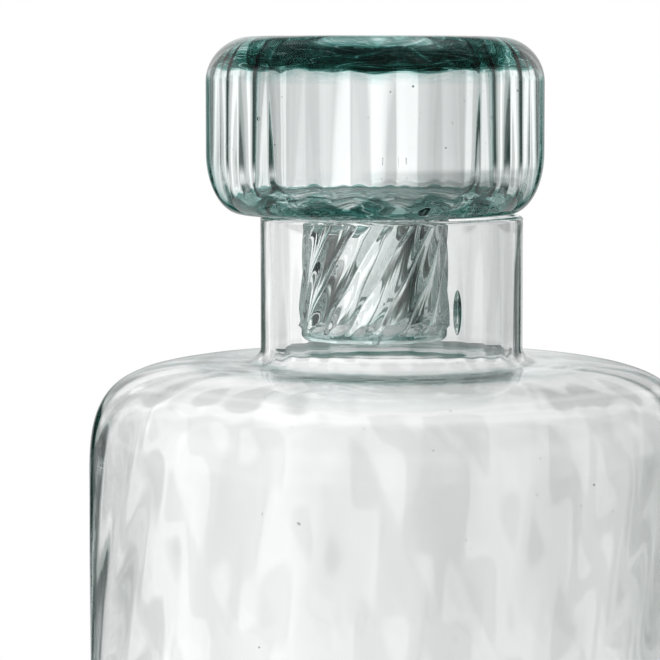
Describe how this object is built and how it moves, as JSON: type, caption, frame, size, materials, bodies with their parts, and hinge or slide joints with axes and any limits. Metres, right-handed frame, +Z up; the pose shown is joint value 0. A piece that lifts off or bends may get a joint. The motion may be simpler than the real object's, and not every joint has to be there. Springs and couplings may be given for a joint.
{
  "type": "stoppered glass bottle",
  "caption": "Blown-glass bottle with a broad body, soft twisted ribs and a short neck, closed by a loose thick-walled glass stopper that lifts out.",
  "frame": {"origin": "centre of the bottle's foot ring, on the surface it stands on", "axes": "+Z up along the bottle's axis, -Y towards the viewer, +X to the viewer's right"},
  "size_m": [0.12, 0.12, 0.2157],
  "materials": {
    "bottle_glass": "clear blown recycled glass with seeds and soft ribs",
    "stopper_glass": "thick blown recycled glass, green in depth"
  },
  "bodies": {
    "bottle": {"bottle": "bottle_glass"},
    "stopper": {"stopper": "stopper_glass"}
  },
  "joints": [
    {"name": "stopper_lift", "type": "slide", "parent": "bottle", "child": "stopper", "axis": [0, 0, 1], "range_m": [0, 0.06]}
  ]
}
